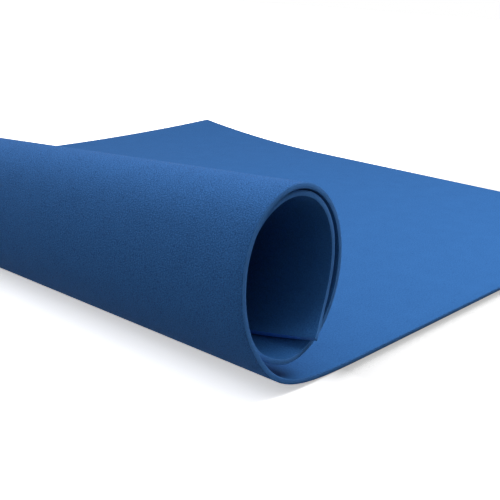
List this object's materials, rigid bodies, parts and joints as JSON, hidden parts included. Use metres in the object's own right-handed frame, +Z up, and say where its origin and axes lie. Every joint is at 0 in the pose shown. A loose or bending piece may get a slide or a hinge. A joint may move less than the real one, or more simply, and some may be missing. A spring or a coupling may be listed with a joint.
{
  "type": "foam sheet",
  "caption": "Thin closed-cell foam sheet lying flat, with one end rolled up on itself into a loose open tube and a back corner lifting slightly.",
  "frame": {"origin": "on the floor, under the middle of the flat stretch of the sheet", "axes": "+Z up, square to the flat stretch; +X along the sheet, from the roll towards the flat end; +Y across the sheet, from the edge where the roll is widest to the edge with the lifted corner"},
  "size_m": [0.3975, 0.4, 0.0755],
  "materials": {
    "blue_foam": "matt closed-cell foam with a fine pore grain"
  },
  "bodies": {
    "root": {"foam_sheet": "blue_foam"}
  },
  "joints": []
}
